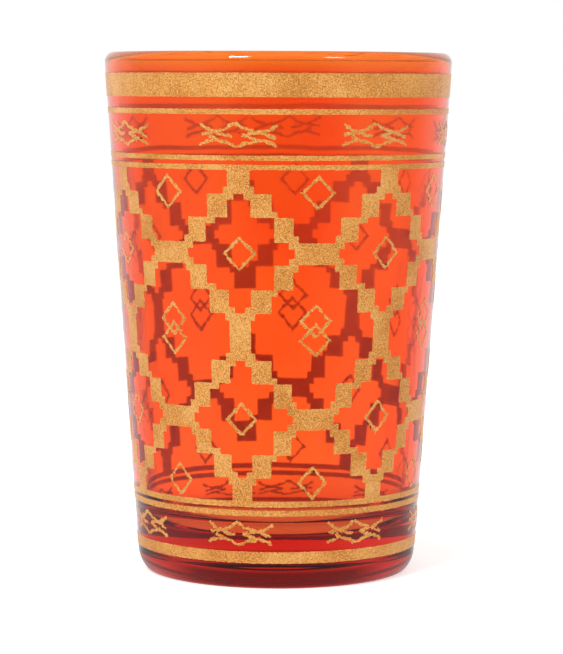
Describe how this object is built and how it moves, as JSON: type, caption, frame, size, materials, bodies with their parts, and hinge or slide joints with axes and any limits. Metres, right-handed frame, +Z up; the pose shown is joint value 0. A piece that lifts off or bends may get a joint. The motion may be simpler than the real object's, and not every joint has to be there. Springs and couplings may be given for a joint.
{
  "type": "tea glass",
  "caption": "Tapered drinking glass for mint tea, in clear orange glass with a thick bottom and a gold print of stepped net, diamonds, knots and bands round its wall.",
  "frame": {"origin": "middle of the base, on the table", "axes": "+Z up along the glass's axis; the side in the picture faces -Y, with +X to its right"},
  "size_m": [0.0602, 0.0602, 0.09],
  "materials": {
    "orange_glass": "clear orange soda-lime glass, fire-polished",
    "gold_enamel": "sandy gold enamel, screen-printed and fired on"
  },
  "bodies": {
    "root": {"tumbler": "orange_glass", "rim_band": "gold_enamel", "rim_line": "gold_enamel", "upper_knots": "gold_enamel", "neck_line": "gold_enamel", "net": "gold_enamel", "top_diamonds": "gold_enamel", "upper_cross_diamonds": "gold_enamel", "twin_diamonds": "gold_enamel", "lower_cross_diamonds": "gold_enamel", "foot_diamonds": "gold_enamel", "foot_line": "gold_enamel", "lower_knots": "gold_enamel", "foot_band": "gold_enamel"}
  },
  "joints": []
}
